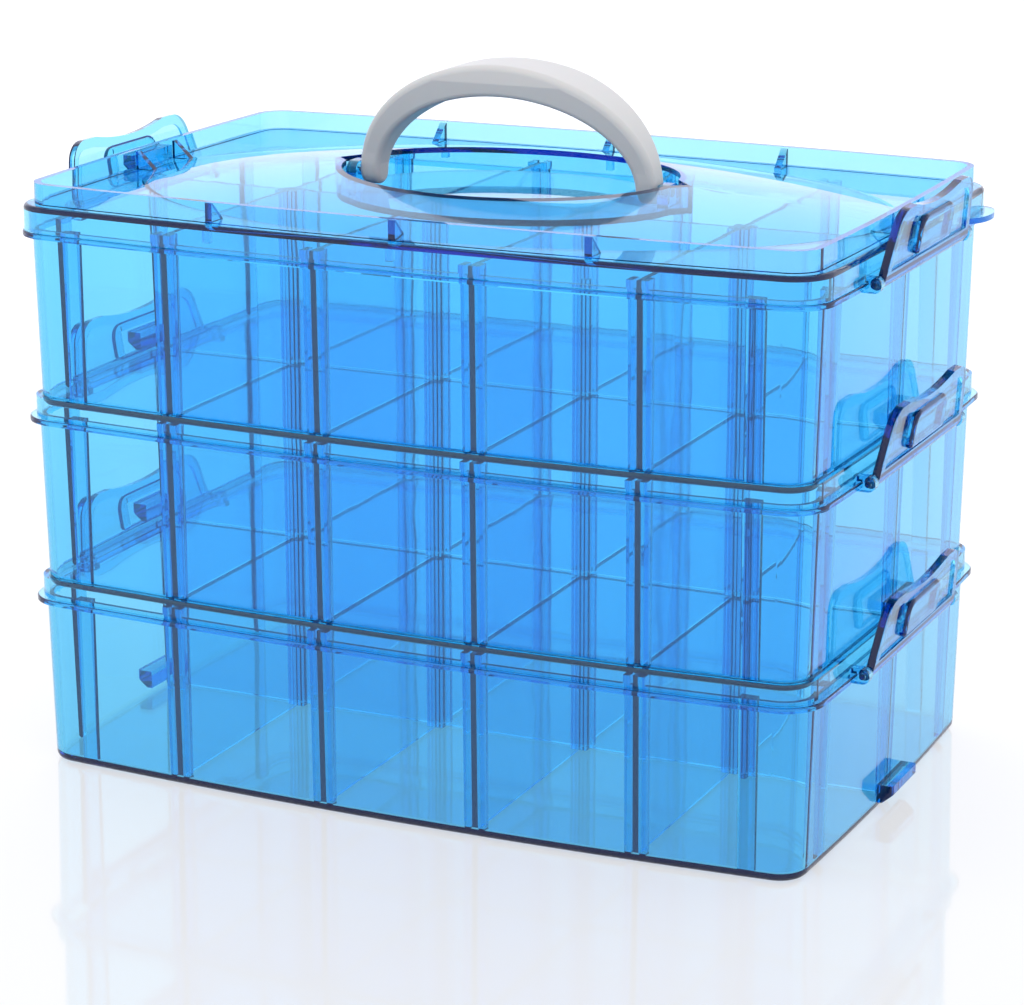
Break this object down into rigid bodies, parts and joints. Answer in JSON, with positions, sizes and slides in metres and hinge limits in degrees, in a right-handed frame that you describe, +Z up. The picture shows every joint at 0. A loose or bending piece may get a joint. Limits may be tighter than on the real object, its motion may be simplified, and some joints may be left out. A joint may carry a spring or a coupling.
{
  "type": "compartment storage box",
  "caption": "Stacked craft storage box in clear blue plastic, with latched trays of removable dividers, a crowned lid and a folding handle.",
  "frame": {"origin": "middle of the box's footprint, on the surface it stands on", "axes": "+X to the right along the long front, +Y to the back, +Z up"},
  "size_m": [0.2654, 0.165, 0.211],
  "materials": {
    "tray_plastic": "clear moulded, glossy",
    "lid_plastic": "clear moulded, glossy",
    "divider_plastic": "clear moulded, glossy",
    "latch_plastic": "clear moulded, glossy",
    "handle_plastic": "opaque moulded, satin"
  },
  "bodies": {
    "tray_bottom": {"tray_bottom": "tray_plastic"},
    "tray_middle": {"tray_middle": "tray_plastic"},
    "tray_top": {"tray_top": "tray_plastic"},
    "lid": {"lid": "lid_plastic"},
    "handle": {"handle": "handle_plastic"},
    "latch_bottom_left": {"latch_bottom_left": "latch_plastic"},
    "latch_bottom_right": {"latch_bottom_right": "latch_plastic"},
    "latch_middle_left": {"latch_middle_left": "latch_plastic"},
    "latch_middle_right": {"latch_middle_right": "latch_plastic"},
    "latch_top_left": {"latch_top_left": "latch_plastic"},
    "latch_top_right": {"latch_top_right": "latch_plastic"},
    "divider_long_bottom": {"divider_long_bottom": "divider_plastic"},
    "dividers_short_bottom": {"divider_bottom_back_1": "divider_plastic", "divider_bottom_back_2": "divider_plastic", "divider_bottom_back_3": "divider_plastic", "divider_bottom_back_4": "divider_plastic", "divider_bottom_front_1": "divider_plastic", "divider_bottom_front_2": "divider_plastic", "divider_bottom_front_3": "divider_plastic", "divider_bottom_front_4": "divider_plastic"},
    "divider_long_middle": {"divider_long_middle": "divider_plastic"},
    "dividers_short_middle": {"divider_middle_back_1": "divider_plastic", "divider_middle_back_2": "divider_plastic", "divider_middle_back_3": "divider_plastic", "divider_middle_back_4": "divider_plastic", "divider_middle_front_1": "divider_plastic", "divider_middle_front_2": "divider_plastic", "divider_middle_front_3": "divider_plastic", "divider_middle_front_4": "divider_plastic"},
    "divider_long_top": {"divider_long_top": "divider_plastic"},
    "dividers_short_top": {"divider_top_back_1": "divider_plastic", "divider_top_back_2": "divider_plastic", "divider_top_back_3": "divider_plastic", "divider_top_back_4": "divider_plastic", "divider_top_front_1": "divider_plastic", "divider_top_front_2": "divider_plastic", "divider_top_front_3": "divider_plastic", "divider_top_front_4": "divider_plastic"}
  },
  "joints": [
    {"name": "middle_lift", "type": "slide", "parent": "tray_bottom", "child": "tray_middle", "axis": [0, 0, 1], "range_m": [0, 0.09]},
    {"name": "top_lift", "type": "slide", "parent": "tray_middle", "child": "tray_top", "axis": [0, 0, 1], "range_m": [0, 0.09]},
    {"name": "lid_lift", "type": "slide", "parent": "tray_top", "child": "lid", "axis": [0, 0, 1], "range_m": [0, 0.09]},
    {"name": "handle_fold", "type": "hinge", "parent": "lid", "child": "handle", "pos_m": [0, 0, 0.1755], "axis": [1, 0, 0], "range_deg": [-75, 75]},
    {"name": "latch_bottom_left_hinge", "type": "hinge", "parent": "tray_bottom", "child": "latch_bottom_left", "pos_m": [-0.1275, 0, 0.05175], "axis": [0, -1, 0], "range_deg": [-9, 100]},
    {"name": "latch_bottom_right_hinge", "type": "hinge", "parent": "tray_bottom", "child": "latch_bottom_right", "pos_m": [0.1275, 0, 0.05175], "axis": [0, 1, 0], "range_deg": [-9, 100]},
    {"name": "latch_middle_left_hinge", "type": "hinge", "parent": "tray_middle", "child": "latch_middle_left", "pos_m": [-0.1275, 0, 0.10755], "axis": [0, -1, 0], "range_deg": [-9, 100]},
    {"name": "latch_middle_right_hinge", "type": "hinge", "parent": "tray_middle", "child": "latch_middle_right", "pos_m": [0.1275, 0, 0.10755], "axis": [0, 1, 0], "range_deg": [-9, 100]},
    {"name": "latch_top_left_hinge", "type": "hinge", "parent": "tray_top", "child": "latch_top_left", "pos_m": [-0.1275, 0, 0.16335], "axis": [0, -1, 0], "range_deg": [-9, 100]},
    {"name": "latch_top_right_hinge", "type": "hinge", "parent": "tray_top", "child": "latch_top_right", "pos_m": [0.1275, 0, 0.16335], "axis": [0, 1, 0], "range_deg": [-9, 100]},
    {"name": "divider_long_bottom_lift", "type": "slide", "parent": "tray_bottom", "child": "divider_long_bottom", "axis": [0, 0, 1], "range_m": [0, 0.027]},
    {"name": "dividers_short_bottom_lift", "type": "slide", "parent": "tray_bottom", "child": "dividers_short_bottom", "axis": [0, 0, 1], "range_m": [0, 0.054]},
    {"name": "divider_long_middle_lift", "type": "slide", "parent": "tray_middle", "child": "divider_long_middle", "axis": [0, 0, 1], "range_m": [0, 0.027]},
    {"name": "dividers_short_middle_lift", "type": "slide", "parent": "tray_middle", "child": "dividers_short_middle", "axis": [0, 0, 1], "range_m": [0, 0.054]},
    {"name": "divider_long_top_lift", "type": "slide", "parent": "tray_top", "child": "divider_long_top", "axis": [0, 0, 1], "range_m": [0, 0.027]},
    {"name": "dividers_short_top_lift", "type": "slide", "parent": "tray_top", "child": "dividers_short_top", "axis": [0, 0, 1], "range_m": [0, 0.054]}
  ],
  "couplings": [
    {"joint": "divider_long_bottom_lift", "follows": "middle_lift", "ratio": 0.3},
    {"joint": "dividers_short_bottom_lift", "follows": "middle_lift", "ratio": 0.6},
    {"joint": "divider_long_middle_lift", "follows": "top_lift", "ratio": 0.3},
    {"joint": "dividers_short_middle_lift", "follows": "top_lift", "ratio": 0.6},
    {"joint": "divider_long_top_lift", "follows": "lid_lift", "ratio": 0.3},
    {"joint": "dividers_short_top_lift", "follows": "lid_lift", "ratio": 0.6}
  ]
}
